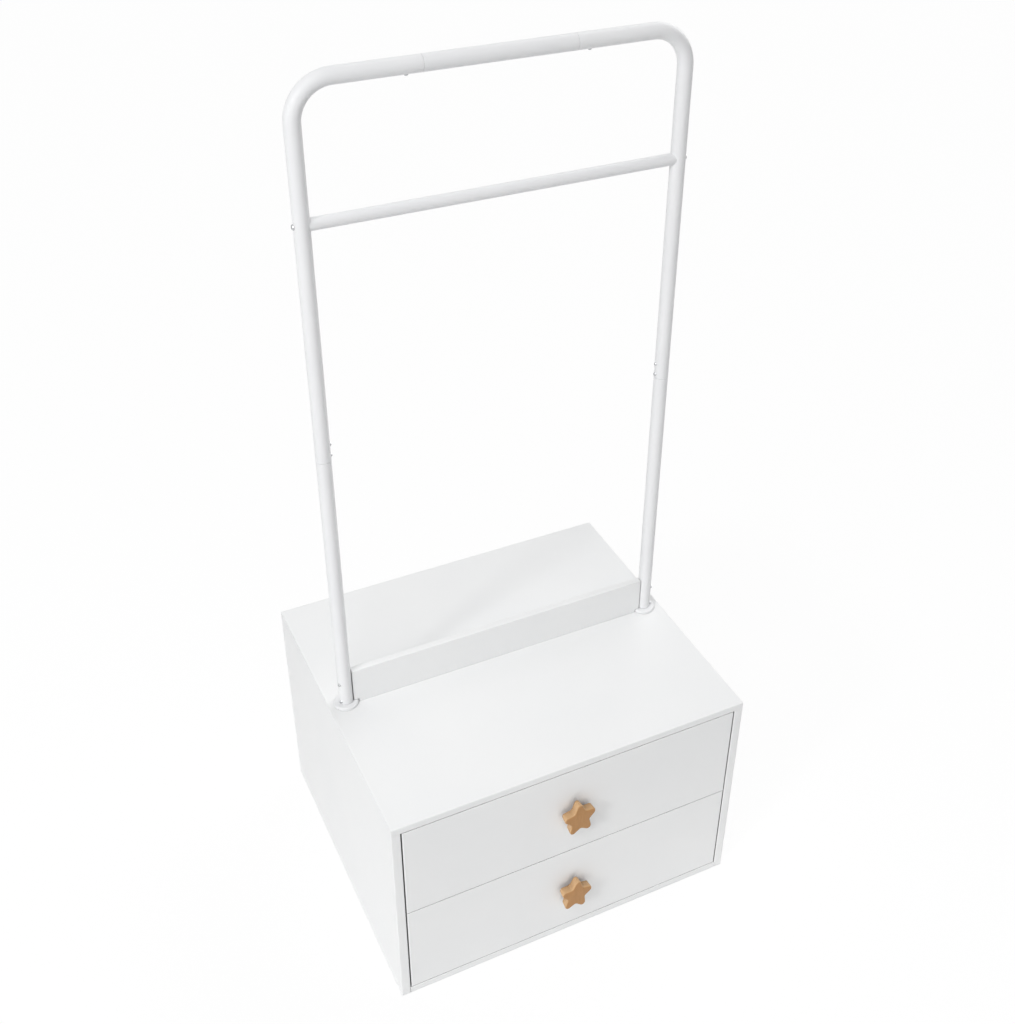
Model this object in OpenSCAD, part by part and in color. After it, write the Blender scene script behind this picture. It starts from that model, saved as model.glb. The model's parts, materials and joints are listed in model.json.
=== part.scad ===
/* [Cabinet] */
// Width of the cabinet across its side panels
cab_w = 600; // [500:5:800]
// Height of the cabinet from the floor to its top surface
cab_h = 394; // [380:2:500]
// Thickness of the two side panels
side_t = 15; // [15:1:18]
// Thickness of the top and bottom panels
deck_t = 12; // [12:1:18]
// Thickness of the sheet that closes the back
back_t = 3; // [2.5:0.5:5]
// Distance of that sheet from the rear edges
back_inset = 10; // [8:1:20]
// Depth of the grooves that hold the back sheet
groove_d = 5; // [4:0.5:6]
// Room between the drawer boxes and the back sheet
box_room = 47; // [5:1:150]
// Visible gap between the drawer fronts and below the lower one
front_gap = 1.5; // [1:0.25:3]
// Visible gap at each side of the drawer fronts
side_gap = 2.1; // [1:0.1:3]
// Visible gap above the upper drawer front
top_gap = 2.2; // [1:0.1:3]
// Radius of the boards' rounded edges
edge_r = 1.5; // [0.5:0.25:3]

/* [Shelf divider] */
// Height of the board that stands on the cabinet between the posts
divider_h = 66; // [40:1:120]
// Thickness of that board
divider_t = 12; // [9:1:16]
// Gap between each end of that board and the post beside it
divider_gap = 0.5; // [0.3:0.1:3]

/* [Posts and rails] */
// Distance of the post axes behind the cabinet's front
post_back = 271; // [240:1:290]
// Distance of each post axis in from the cabinet's side
post_in = 29.5; // [29:0.5:60]
// Outside diameter of the posts and of the top rail
tube_d = 22; // [20:1:28]
// Wall of every tube
tube_wall = 1.2; // [1:0.1:1.5]
// Height of the top rail's axis above the floor
rail_z = 1392; // [1250:2:1600]
// Radius of the bends at the top corners, on the tube's axis
bend_r = 52; // [40:1:90]
// Height of the joint between lower posts and corner tubes
seam_z = 860; // [700:2:950]
// Half the length of the straight tube in the middle of the top rail
seam_x = 105; // [60:1:130]
// Length of the reduced ends that plug into the next tube
plug_l = 45; // [40:1:60]
// Distance of the crossbar's axis below the top rail's
bar_drop = 181; // [160:1:340]
// Outside diameter of the crossbar
bar_d = 17; // [16:1:19]
// Diameter of the flange under each post
flange_d = 39; // [36:1:50]
// Thickness of that flange
flange_t = 5; // [4:0.5:8]
// Height of the spigot that the post stands over
spigot_h = 56; // [54:1:70]
// Angle of the foot screws from straight outwards towards the front
foot_screw_turn = 28; // [0:1:45]

/* [Drawers] */
// Thickness of the drawer fronts
front_t = 15; // [15:1:18]
// Thickness of the boards of the drawer boxes
box_t = 12; // [12:1:15]
// Height of the drawer boxes
box_h = 140; // [110:1:145]
// Length of the drawer boxes behind the fronts
box_l = 450; // [415:1:460]
// Thickness of the drawer bottoms
floor_t = 3; // [3:0.5:5]
// Height of the box's lower edge above the front's lower edge
box_lift = 12; // [10:1:20]

/* [Drawer slides] */
// Length of the slides
slide_l = 400; // [350:10:400]
// How far a drawer comes out
travel = 300; // [200:10:300]
// Room for a slide between the cabinet side and the drawer box
slide_gap = 12.7; // [12.7:0.1:13.2]
// Height of the slides
slide_h = 35; // [35:1:45]
// Thickness of the slide's sheet steel
sheet_t = 1.2; // [1:0.1:1.3]

/* [Knobs] */
// Half the width of the star before its tips are rounded
star_r = 34; // [24:1:40]
// Radius of the notches before rounding, as a share of the star's
star_share = 0.5; // [0.5:0.01:0.65]
// Height of the star as a multiple of its width
star_stretch = 1.2; // [1:0.05:1.3]
// Radius of the rounded tips
tip_r = 5; // [4:0.25:6]
// Radius of the rounded notches
notch_r = 4; // [2:0.2:5]
// Thickness of the star
star_t = 14.5; // [12:0.5:20]
// How much further in the star's outline lies at its back than at its front
star_draft = 1.5; // [0:0.25:2]
// Radius of the rounded rim of its front face
rim_r = 1.5; // [1.5:0.25:3]
// Length of the neck behind the star
neck_l = 6; // [4:0.5:12]
// Diameter of that neck
neck_d = 18; // [14:1:22]
// Turn of the upper knob, anticlockwise as seen from the front
upper_knob_turn = 3; // [-15:1:15]
// Turn of the lower knob, anticlockwise as seen from the front
lower_knob_turn = -6; // [-15:1:15]

/* [Hidden] */
$fn = 64;

// Colours
board_white = "#eef0f2";
tube_white = "#f1f2f6";
sheet_white = "#e6e8ea";
beech = "#c08a56";
zinc = "#b9bdc1";
dowel_wood = "#d9bd8f";

// Clearances
hair = 0.1;
slip = 0.15;
run = 0.3;
groove_play = 0.4;
over = 1;

// Depth of the cabinet, from front to back: a drawer, the room behind it and the back sheet
cab_d = front_t + box_l + box_room + back_t + back_inset;

// Cabinet places: the origin is on the floor, under the middle of the cabinet
front_y = -cab_d / 2;
rear_y = cab_d / 2;
inner_x = cab_w / 2 - side_t;
inner_h = cab_h - 2 * deck_t;
under_top = cab_h - deck_t;
sheet_y = rear_y - back_inset - back_t;
sheet_x = inner_x + groove_d - groove_play / 2;
deck_groove = 4;

// Posts
post_y = front_y + post_back;
post_x = cab_w / 2 - post_in;
tube_r = tube_d / 2;
bore_r = tube_r - tube_wall;
plug_r = bore_r - slip;
plug_bore_r = plug_r - tube_wall;
shoulder = 2;
bar_r = bar_d / 2;
bar_z = rail_z - bar_drop;
foot_z = cab_h + flange_t;
flange_edge = 2;
rail_end_x = post_x - bend_r;
bend_z = rail_z - bend_r;

// Drawer fronts and boxes
front_w = 2 * (inner_x - side_gap);
front_h = (inner_h - 2 * front_gap - top_gap) / 2;
front_back_y = front_y + front_t;
box_x = inner_x - slide_gap;
box_end_y = front_back_y + box_l;
box_groove = 5;
floor_lift = 8;
LOWER = deck_t + front_gap;
UPPER = LOWER + front_h + front_gap;

// Slides: a cabinet rail, a runner on the drawer box and a ball cage between them
slide_set_back = 6;
slide_y = front_back_y + slide_set_back;
slide_lift = box_lift + box_h / 2;
cage_t = 0.8;
web_play = 1;
end_play = 0.7;
rail_depth = slide_gap - sheet_t - 2 * run;
runner_depth = slide_gap - sheet_t - web_play - cage_t - end_play;
ball_play = 0.4;
ball_d = rail_depth + runner_depth - slide_gap - 2 * sheet_t - 2 * ball_play;
ball_r = ball_d / 2;
lip = ball_r - cage_t / 2;
rail_in = slide_h / 2 - sheet_t;
runner_out = rail_in - ball_d - 2 * run;
ball_z = rail_in - run - ball_r;
ball_x = (inner_x - rail_depth + box_x + runner_depth) / 2;
cage_web_x = inner_x - sheet_t - web_play;
tip_play = 0.5;
cage_tip_x = inner_x - rail_depth + tip_play;
stop_l = 3;
stop_half = 4;
stop_lap = 0.2;
stop_play = 1.5;
cage_start = travel / 2 + stop_l + stop_play;
cage_l = slide_l - travel - 2 * (stop_l + stop_play);
ball_pitch = 12;
ball_count = floor((cage_l - 2 * ball_d) / ball_pitch) + 1;
rail_screw_r = 1.75;
rail_head_r = rail_screw_r + sheet_t - hair / 2;
runner_head_r = 3.2;
runner_head_h = 1.8;
runner_screw_skin = 2;
runner_screw_l = box_t + sheet_t - runner_screw_skin;
rail_screw_l = 12;
slide_screw_end = 32;
slide_screw_off = 60;
slide_screw_step = 8;
rail_screw_at = [slide_screw_end, slide_l / 2 + slide_screw_off, slide_l - slide_screw_end];
runner_screw_at = [slide_screw_end, slide_l / 2 - slide_screw_off,
    slide_l - slide_screw_end - slide_screw_step];

// Cam fittings and dowels
cam_skin = 2.5;
cam_back = 24;
cam_bolt_r = 2.2;
cam_head_r = 2.7;
cam_bore_r = 3;
cam_seat = 2;
cam_slot_w = 1.2;
cam_slot_h = 1.4;
cam_head_h = 2;
cam_neck_end = 5;
cam_in = 70;
dowel_in = 105;
joint_y = [front_y + cam_in, rear_y - cam_in];
dowel_y = [front_y + dowel_in, post_y, rear_y - dowel_in];
dowel_r = 4;
dowel_top = 8;
dowel_side = 10;
dowel_edge = 20;
box_joint_low = 35;
box_joint_high = 30;
front_cam_z = [box_lift + box_joint_low, box_lift + box_h - box_joint_high];

// Screws
divider_half = post_x - tube_r - divider_gap;
divider_screw_in = 79;
divider_screw_x = [divider_screw_in - divider_half, 0, divider_half - divider_screw_in];
divider_screw_r = 2;
divider_screw_l = 34;
foot_bolt_r = 4;
foot_bolt_bite = 7.5;
foot_bolt_l = deck_t + foot_bolt_bite;
foot_head_r = 7.5;
foot_head_h = 5;
foot_washer_r = 8.9;
foot_washer_t = 1.6;
foot_screw_low = 10;
foot_screw_high = 46;
foot_screw_z = [cab_h + foot_screw_low, cab_h + foot_screw_high];
post_screw_low = 6;
post_screw_high = 24;
post_screw_z = [seam_z + post_screw_low, seam_z + post_screw_high];
inwards = 180;
top_screw_in = 20;
top_screw_x = seam_x + top_screw_in;
tap_r = 1.9;
tap_head_r = 2.9;
tap_head_h = 1.7;
tap_l = 9;
bar_screw_r = 2.5;
bar_head_r = 4.2;
bar_screw_bite = 18;
bar_screw_l = tube_d + bar_screw_bite;
bar_plug_l = 20;
bar_plug_at = 3;
back_screw_r = 2;
back_screw_l = 38;
back_screw_z = [box_lift + box_joint_low, box_lift + box_h - box_joint_high];
knob_screw_r = 2;
knob_screw_in = 12;
knob_head_r = 4;
knob_head_h = 2.4;

// Puts a copy on the left of what is drawn on the right
module both() {
    children();
    mirror([1, 0, 0]) children();
}

// Puts the right-hand drawing on the right or on the left
module on_side(s) {
    if (s > 0) children();
    else mirror([1, 0, 0]) children();
}

// A board from one corner to the other
module board(low, high) {
    translate(low) cube(high - low);
}

// What rounding takes off an edge of length l along +Z, where the board lies towards -X and -Y
module edge_cut(l) {
    difference() {
        translate([-edge_r, -edge_r, -over]) cube([edge_r + over, edge_r + over, l + 2 * over]);
        translate([-edge_r, -edge_r, -2 * over]) cylinder(r = edge_r, h = l + 4 * over);
    }
}

// Rounding of a board's edges that run along X: sy and sz say on which side of the board
module round_x(low, high, sy, sz) {
    translate([low[0], sy > 0 ? high[1] : low[1], sz > 0 ? high[2] : low[2]])
        mirror([0, sy > 0 ? 0 : 1, 0]) mirror([0, 0, sz > 0 ? 0 : 1])
            rotate([90, 0, 90]) edge_cut(high[0] - low[0]);
}

module round_y(low, high, sx, sz) {
    translate([sx > 0 ? high[0] : low[0], low[1], sz > 0 ? high[2] : low[2]])
        mirror([sx > 0 ? 0 : 1, 0, 0]) mirror([0, 0, sz > 0 ? 0 : 1])
            mirror([0, 1, 0]) rotate([90, 0, 0]) edge_cut(high[1] - low[1]);
}

module round_z(low, high, sx, sy) {
    translate([sx > 0 ? high[0] : low[0], sy > 0 ? high[1] : low[1], low[2]])
        mirror([sx > 0 ? 0 : 1, 0, 0]) mirror([0, sy > 0 ? 0 : 1, 0]) edge_cut(high[2] - low[2]);
}

// Pan-head screw: the head's seat is at the origin, the shank points down
module pan_screw(r, l, head_r, head_h) {
    difference() {
        union() {
            translate([0, 0, -l]) cylinder(r1 = r * 0.35, r2 = r, h = r * 1.6);
            translate([0, 0, -l + r * 1.6]) cylinder(r = r, h = l - r * 1.6 + head_h / 2);
            cylinder(r1 = head_r, r2 = head_r * 0.72, h = head_h);
        }
        for (a = [0, 90]) rotate([0, 0, a])
            translate([-head_r * 0.55, -head_r * 0.1, head_h * 0.4])
                cube([head_r * 1.1, head_r * 0.2, head_h]);
    }
}

// Flat-head screw: its head is flush with the origin's plane, the shank points down
module flat_screw(r, l, head_r) {
    difference() {
        union() {
            translate([0, 0, -l]) cylinder(r1 = r * 0.35, r2 = r, h = r * 1.6);
            translate([0, 0, -l + r * 1.6]) cylinder(r = r, h = l - r * 1.6 - head_r + r);
            translate([0, 0, r - head_r]) cylinder(r1 = r, r2 = head_r, h = head_r - r);
        }
        for (a = [0, 90]) rotate([0, 0, a])
            translate([-head_r * 0.55, -head_r * 0.12, -head_r * 0.3])
                cube([head_r * 1.1, head_r * 0.24, head_r]);
    }
}

// The hole that such a screw needs, through a sheet or a board below it
module flat_hole(r, l, head_r) {
    translate([0, 0, -l - hair]) cylinder(r = r + hair, h = l + hair + over);
    translate([0, 0, r - head_r]) cylinder(r1 = r + hair, r2 = head_r + hair, h = head_r - r);
    cylinder(r = head_r + hair, h = over);
}

// Cam lock in a board of thickness t: its face is at the origin, its bolt comes in along +X
module cam_lock(t) {
    depth = t - cam_skin;
    difference() {
        translate([0, 0, -depth]) cylinder(r = t / 2 - hair, h = depth);
        translate([-cam_seat, 0, -t / 2]) rotate([0, 90, 0]) cylinder(r = cam_bore_r, h = t);
        for (a = [0, 90]) rotate([0, 0, a]) translate([-t / 4, -cam_slot_w / 2, -cam_slot_h])
            cube([t / 2, cam_slot_w, cam_slot_h + over]);
    }
}

module cam_pocket(t) {
    depth = t - cam_skin;
    translate([0, 0, -depth]) cylinder(r = t / 2, h = depth + over);
    translate([0, 0, -t / 2]) rotate([0, 90, 0]) cylinder(r = cam_bore_r, h = cam_back + over);
}

// Bolt of a cam lock: its threaded end goes bite deep into the other board
module cam_bolt(t, bite) {
    translate([0, 0, -t / 2]) rotate([0, 90, 0]) {
        translate([0, 0, -cam_head_h / 2]) cylinder(r = cam_head_r, h = cam_head_h);
        cylinder(r = cam_bolt_r * 0.7, h = cam_neck_end + hair);
        translate([0, 0, cam_neck_end]) cylinder(r = cam_bolt_r, h = cam_back + bite - cam_neck_end);
    }
}

module cam_thread_hole(t, bite) {
    translate([cam_back - over, 0, -t / 2]) rotate([0, 90, 0])
        cylinder(r = cam_bolt_r + hair, h = bite + over + hair);
}

// Places of the cam fittings
deck_skin = 3.5;
side_skin = 4.5;
bite_top = deck_t - deck_skin;
bite_side = side_t - side_skin;
bite_front = front_t - side_skin;

module at_top_cams() {
    for (y = joint_y) translate([inner_x, y, under_top - cam_back]) rotate([0, -90, 0]) children();
}

module at_bottom_cams() {
    for (y = joint_y) translate([inner_x - cam_back, y, 0]) rotate([180, 0, 0]) children();
}

// Drawer corner fittings, for the drawer whose front starts at height z
module at_front_cams(z) {
    for (h = front_cam_z) translate([box_x - box_t, front_back_y + cam_back, z + h])
        rotate([90, 0, 0]) rotate([0, -90, 0]) children();
}

module top_dowel(play) {
    for (y = dowel_y) translate([cab_w / 2 - side_t / 2, y, under_top - dowel_edge - play])
        cylinder(r = dowel_r + play, h = dowel_edge + dowel_top + 2 * play);
}

module bottom_dowel(play) {
    for (y = dowel_y) translate([inner_x - dowel_edge - play, y, deck_t / 2]) rotate([0, 90, 0])
        cylinder(r = dowel_r + play, h = dowel_edge + dowel_side + 2 * play);
}

// Groove for the back sheet, wide enough for it to slide in
module back_groove() {
    board([-sheet_x - groove_play / 2, sheet_y - groove_play / 2, deck_t - deck_groove],
        [sheet_x + groove_play / 2, sheet_y + back_t + groove_play / 2, under_top + deck_groove]);
}

// Screws that hold the rails to the side panels
module at_rail_screws(z) {
    for (s = rail_screw_at) translate([inner_x - sheet_t, slide_y + s, z + slide_lift])
        rotate([0, -90, 0]) children();
}

module at_runner_screws(z) {
    for (s = runner_screw_at) translate([box_x + sheet_t, slide_y + s, z + slide_lift])
        rotate([0, 90, 0]) children();
}

module top_panel() {
    low = [-cab_w / 2, front_y, under_top];
    high = [cab_w / 2, rear_y, cab_h];
    color(board_white) difference() {
        board(low, high);
        for (m = [-1, 1]) {
            round_x(low, high, m, 1);
            round_y(low, high, m, 1);
            for (n = [-1, 1]) round_z(low, high, m, n);
        }
        back_groove();
        both() at_top_cams() cam_thread_hole(side_t, bite_top);
        both() top_dowel(hair);
        both() translate([post_x, post_y, under_top - over])
            cylinder(r = foot_bolt_r + run, h = deck_t + 2 * over);
        for (x = divider_screw_x) translate([x, post_y, under_top]) rotate([180, 0, 0])
            flat_hole(divider_screw_r, deck_t + over, divider_screw_r * 2);
    }
}

module bottom_panel() {
    low = [-inner_x, front_y, 0];
    high = [inner_x, rear_y, deck_t];
    color(board_white) difference() {
        board(low, high);
        round_x(low, high, -1, 1);
        back_groove();
        both() at_bottom_cams() cam_pocket(deck_t);
        both() bottom_dowel(hair);
    }
}

module side_panel(s) {
    low = [inner_x, front_y, 0];
    high = [cab_w / 2, rear_y, under_top];
    color(board_white) on_side(s) difference() {
        board(low, high);
        for (m = [-1, 1]) round_z(low, high, m, -1);
        round_z(low, high, 1, 1);
        back_groove();
        at_top_cams() cam_pocket(side_t);
        at_bottom_cams() cam_thread_hole(deck_t, bite_side);
        top_dowel(hair);
        bottom_dowel(hair);
        for (z = [LOWER, UPPER]) at_rail_screws(z)
            translate([0, 0, -rail_screw_l - hair]) cylinder(r = rail_screw_r + hair, h = rail_screw_l);
    }
}

module left_side_panel() side_panel(-1);

module right_side_panel() side_panel(1);

module back_panel() {
    color(sheet_white) board([-sheet_x, sheet_y, deck_t - deck_groove],
        [sheet_x, sheet_y + back_t, under_top + deck_groove - groove_play]);
}

// Its lower corners are notched to clear the flanges of the posts
module divider_board() {
    notch_x = post_x - flange_d / 2 - divider_gap;
    low = [-divider_half, post_y - divider_t / 2, cab_h];
    high = [divider_half, post_y + divider_t / 2, cab_h + divider_h];
    color(board_white) difference() {
        board(low, high);
        for (m = [-1, 1]) {
            round_x(low, high, m, 1);
            round_y(low, high, m, 1);
            for (n = [-1, 1]) round_z(low, high, m, n);
        }
        both() board([notch_x, post_y - divider_t / 2 - over, cab_h - over],
            [divider_half + over, post_y + divider_t / 2 + over, foot_z + divider_gap]);
        for (x = divider_screw_x) translate([x, post_y, cab_h - over])
            cylinder(r = divider_screw_r + hair, h = divider_screw_l - deck_t + over + hair);
    }
}

module divider_screws() {
    color(zinc) for (x = divider_screw_x) translate([x, post_y, under_top]) rotate([180, 0, 0])
        flat_screw(divider_screw_r, divider_screw_l, divider_screw_r * 2);
}

module cam_bolts() {
    color(zinc) both() {
        at_top_cams() cam_bolt(side_t, bite_top);
        at_bottom_cams() cam_bolt(deck_t, bite_side);
    }
}

module cam_locks() {
    color(zinc) both() {
        at_top_cams() cam_lock(side_t);
        at_bottom_cams() cam_lock(deck_t);
    }
}

module dowels() {
    color(dowel_wood) both() {
        top_dowel(0);
        bottom_dowel(0);
    }
}

// Small screws through a tube's wall, seated on the wall and pointing at the tube's axis
module post_side_screws(zs, turn, play) {
    for (z = zs) translate([post_x, post_y, z]) rotate([0, 0, turn])
        translate([tube_r, 0, 0]) rotate([0, 90, 0])
            if (play > 0) translate([0, 0, -tap_l - over]) cylinder(r = tap_r + play, h = tap_l + 2 * over);
            else pan_screw(tap_r, tap_l, tap_head_r, tap_head_h);
}

module top_side_screws(play) {
    translate([top_screw_x, post_y, rail_z - tube_r]) rotate([180, 0, 0])
        if (play > 0) translate([0, 0, -tap_l - over]) cylinder(r = tap_r + play, h = tap_l + 2 * over);
        else pan_screw(tap_r, tap_l, tap_head_r, tap_head_h);
}

module bar_side_screws(play) {
    translate([post_x + tube_r, post_y, bar_z]) rotate([0, 90, 0])
        if (play > 0) translate([0, 0, -bar_screw_l - over])
            cylinder(r = bar_screw_r + play, h = bar_screw_l + 2 * over);
        else pan_screw(bar_screw_r, bar_screw_l, bar_head_r, tap_head_h);
}

// A flange with a spigot that the post stands over, bolted from beneath
module post_foot(s) {
    color(tube_white) on_side(s) difference() {
        translate([post_x, post_y, cab_h]) union() {
            cylinder(r = flange_d / 2, h = flange_t - flange_edge);
            translate([0, 0, flange_t - flange_edge])
                cylinder(r1 = flange_d / 2, r2 = flange_d / 2 - flange_edge, h = flange_edge);
            cylinder(r = plug_r, h = spigot_h + flange_t);
        }
        translate([post_x, post_y, cab_h - over])
            cylinder(r = foot_bolt_r + hair, h = foot_bolt_l - deck_t + over + hair);
        post_side_screws(foot_screw_z, -foot_screw_turn, hair);
    }
}

module left_post_foot() post_foot(-1);

module right_post_foot() post_foot(1);

module foot_bolts() {
    color(zinc) both() translate([post_x, post_y, under_top]) {
        translate([0, 0, -foot_washer_t]) cylinder(r = foot_washer_r, h = foot_washer_t);
        translate([0, 0, -foot_washer_t - foot_head_h]) cylinder(r = foot_head_r, h = foot_head_h, $fn = 6);
        cylinder(r = foot_bolt_r, h = foot_bolt_l);
    }
}

// A hollow cylinder on +Z from the origin
module pipe(r, r_in, h) {
    difference() {
        cylinder(r = r, h = h);
        translate([0, 0, -over]) cylinder(r = r_in, h = h + 2 * over);
    }
}

module lower_post(s) {
    color(tube_white) on_side(s) difference() {
        translate([post_x, post_y, 0]) union() {
            translate([0, 0, foot_z]) pipe(tube_r, bore_r, seam_z - foot_z - shoulder);
            translate([0, 0, seam_z - shoulder]) pipe(tube_r, plug_bore_r, shoulder);
            translate([0, 0, seam_z]) pipe(plug_r, plug_bore_r, plug_l);
        }
        post_side_screws(foot_screw_z, -foot_screw_turn, hair);
        post_side_screws(post_screw_z, inwards, hair);
    }
}

module lower_left_post() lower_post(-1);

module lower_right_post() lower_post(1);

// Solid rod of radius r along the corner tube's axis, longer by ends at both ends
module corner_path(r, ends) {
    translate([post_x, post_y, seam_z - ends]) cylinder(r = r, h = bend_z - seam_z + ends);
    translate([rail_end_x, post_y, bend_z]) rotate([90, 0, 0])
        rotate_extrude(angle = 90) translate([bend_r, 0]) circle(r = r);
    translate([seam_x - ends, post_y, rail_z]) rotate([0, 90, 0])
        cylinder(r = r, h = rail_end_x - seam_x + ends);
}

module corner_tube(s) {
    color(tube_white) on_side(s) difference() {
        corner_path(tube_r, 0);
        corner_path(bore_r, over);
        post_side_screws(post_screw_z, inwards, hair);
        top_side_screws(hair);
        bar_side_screws(hair);
    }
}

module left_corner_tube() corner_tube(-1);

module right_corner_tube() corner_tube(1);

module top_centre_tube() {
    color(tube_white) difference() {
        translate([0, post_y, rail_z]) rotate([0, 90, 0]) union() {
            translate([0, 0, shoulder - seam_x]) pipe(tube_r, bore_r, 2 * (seam_x - shoulder));
            for (end = [-seam_x, seam_x - shoulder]) translate([0, 0, end]) pipe(tube_r, plug_bore_r, shoulder);
            for (end = [-seam_x - plug_l, seam_x]) translate([0, 0, end]) pipe(plug_r, plug_bore_r, plug_l);
        }
        both() top_side_screws(hair);
    }
}

// The crossbar's ends are cut to the round of the posts
module crossbar() {
    color(tube_white) difference() {
        translate([-post_x, post_y, bar_z]) rotate([0, 90, 0]) pipe(bar_r, bar_r - tube_wall, 2 * post_x);
        both() translate([post_x, post_y, bar_z - tube_d]) cylinder(r = tube_r + hair / 2, h = 2 * tube_d);
    }
}

module crossbar_plugs() {
    start = post_x - tube_r - bar_plug_at - bar_plug_l;
    color(zinc) both() translate([start, post_y, bar_z]) rotate([0, 90, 0])
        pipe(bar_r - tube_wall - hair / 2, bar_screw_r + hair / 2, bar_plug_l);
}

module foot_screws() {
    color(zinc) both() post_side_screws(foot_screw_z, -foot_screw_turn, 0);
}

module post_screws() {
    color(zinc) both() post_side_screws(post_screw_z, inwards, 0);
}

module top_rail_screws() {
    color(zinc) both() top_side_screws(0);
}

module crossbar_screws() {
    color(zinc) both() bar_side_screws(0);
}

// Cabinet rail: a C of sheet steel with lips that keep the balls in, and a stop at the front
module cabinet_rail(s, z) {
    mid = z + slide_lift;
    low_x = inner_x - rail_depth;
    color(zinc) on_side(s) difference() {
        union() {
            board([inner_x - sheet_t, slide_y, mid - slide_h / 2],
                [inner_x, slide_y + slide_l, mid + slide_h / 2]);
            for (m = [0, 1]) translate([0, 0, mid]) mirror([0, 0, m]) {
                board([low_x, slide_y, rail_in], [inner_x, slide_y + slide_l, slide_h / 2]);
                board([low_x, slide_y, rail_in - lip], [low_x + sheet_t, slide_y + slide_l, slide_h / 2]);
            }
            board([cage_web_x - cage_t - stop_lap, slide_y, mid - stop_half],
                [inner_x, slide_y + stop_l, mid + stop_half]);
        }
        at_rail_screws(z) flat_hole(rail_screw_r, rail_screw_l, rail_head_r);
    }
}

module upper_left_rail() cabinet_rail(-1, UPPER);

module upper_right_rail() cabinet_rail(1, UPPER);

module lower_left_rail() cabinet_rail(-1, LOWER);

module lower_right_rail() cabinet_rail(1, LOWER);

module rail_screws() {
    color(zinc) both() for (z = [LOWER, UPPER]) at_rail_screws(z)
        flat_screw(rail_screw_r, rail_screw_l, rail_head_r);
}

// Runner: a narrower C on the drawer box, with a stop at its rear end
module runner(s, z) {
    mid = z + slide_lift;
    high_x = box_x + runner_depth;
    rear = slide_y + slide_l;
    color(zinc) on_side(s) difference() {
        union() {
            board([box_x, slide_y, mid - runner_out], [box_x + sheet_t, rear, mid + runner_out]);
            for (m = [0, 1]) translate([0, 0, mid]) mirror([0, 0, m]) {
                board([box_x, slide_y, runner_out - sheet_t], [high_x, rear, runner_out]);
                board([high_x - sheet_t, slide_y, runner_out - sheet_t], [high_x, rear, runner_out + lip]);
            }
            board([box_x, rear - stop_l, mid - stop_half], [cage_web_x + hair, rear, mid + stop_half]);
        }
        at_runner_screws(z) translate([0, 0, -over - sheet_t])
            cylinder(r = rail_screw_r + hair, h = sheet_t + 2 * over);
    }
}

module upper_left_runner() runner(-1, UPPER);

module upper_right_runner() runner(1, UPPER);

module lower_left_runner() runner(-1, LOWER);

module lower_right_runner() runner(1, LOWER);

module runner_screws(z) {
    color(zinc) both() at_runner_screws(z)
        pan_screw(rail_screw_r, runner_screw_l, runner_head_r, runner_head_h);
}

module upper_runner_screws() runner_screws(UPPER);

module lower_runner_screws() runner_screws(LOWER);

// Ball cage: a U of thin steel whose flanges hold a row of balls each
module ball_cage(s, z) {
    mid = z + slide_lift;
    y0 = slide_y + cage_start;
    first = y0 + (cage_l - (ball_count - 1) * ball_pitch) / 2;
    color(zinc) on_side(s) union() {
        board([cage_web_x - cage_t, y0, mid - ball_z - cage_t / 2],
            [cage_web_x, y0 + cage_l, mid + ball_z + cage_t / 2]);
        for (m = [0, 1]) translate([0, 0, mid]) mirror([0, 0, m]) {
            board([cage_tip_x, y0, ball_z - cage_t / 2], [cage_web_x, y0 + cage_l, ball_z + cage_t / 2]);
            for (i = [0 : ball_count - 1])
                translate([ball_x, first + i * ball_pitch, ball_z]) sphere(r = ball_r);
        }
    }
}

module upper_left_cage() ball_cage(-1, UPPER);

module upper_right_cage() ball_cage(1, UPPER);

module lower_left_cage() ball_cage(-1, LOWER);

module lower_right_cage() ball_cage(1, LOWER);

// Groove round the inside of the drawer box for its bottom
module floor_groove(z) {
    side = box_x - box_t + box_groove;
    board([-side, front_back_y - box_groove, z + box_lift + floor_lift],
        [side, box_end_y - box_t + box_groove, z + box_lift + floor_lift + floor_t + groove_play]);
}

module drawer_front(z) {
    low = [-front_w / 2, front_y, z];
    high = [front_w / 2, front_back_y, z + front_h];
    color(board_white) difference() {
        board(low, high);
        for (m = [-1, 1]) {
            round_x(low, high, -1, m);
            round_z(low, high, m, -1);
        }
        floor_groove(z);
        both() at_front_cams(z) cam_thread_hole(box_t, bite_front);
        translate([0, front_y - over, z + front_h / 2]) rotate([-90, 0, 0])
            cylinder(r = knob_screw_r + run, h = front_t + 2 * over);
    }
}

module upper_drawer_front() drawer_front(UPPER);

module lower_drawer_front() drawer_front(LOWER);

// Screws through the box sides into the ends of the box back
module at_back_screws(z) {
    for (h = back_screw_z) translate([box_x, box_end_y - box_t / 2, z + h]) rotate([0, 90, 0]) children();
}

module drawer_side(s, z) {
    color(board_white) on_side(s) difference() {
        board([box_x - box_t, front_back_y, z + box_lift], [box_x, box_end_y, z + box_lift + box_h]);
        floor_groove(z);
        at_front_cams(z) cam_pocket(box_t);
        at_back_screws(z) flat_hole(back_screw_r, box_t + over, back_screw_r * 2);
        at_runner_screws(z) translate([0, 0, -runner_screw_l - hair])
            cylinder(r = rail_screw_r + hair, h = runner_screw_l);
    }
}

module upper_drawer_left_side() drawer_side(-1, UPPER);

module upper_drawer_right_side() drawer_side(1, UPPER);

module lower_drawer_left_side() drawer_side(-1, LOWER);

module lower_drawer_right_side() drawer_side(1, LOWER);

module drawer_back(z) {
    color(board_white) difference() {
        board([-box_x + box_t, box_end_y - box_t, z + box_lift],
            [box_x - box_t, box_end_y, z + box_lift + box_h]);
        floor_groove(z);
        both() at_back_screws(z) translate([0, 0, -back_screw_l - hair])
            cylinder(r = back_screw_r + hair, h = back_screw_l);
    }
}

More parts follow.
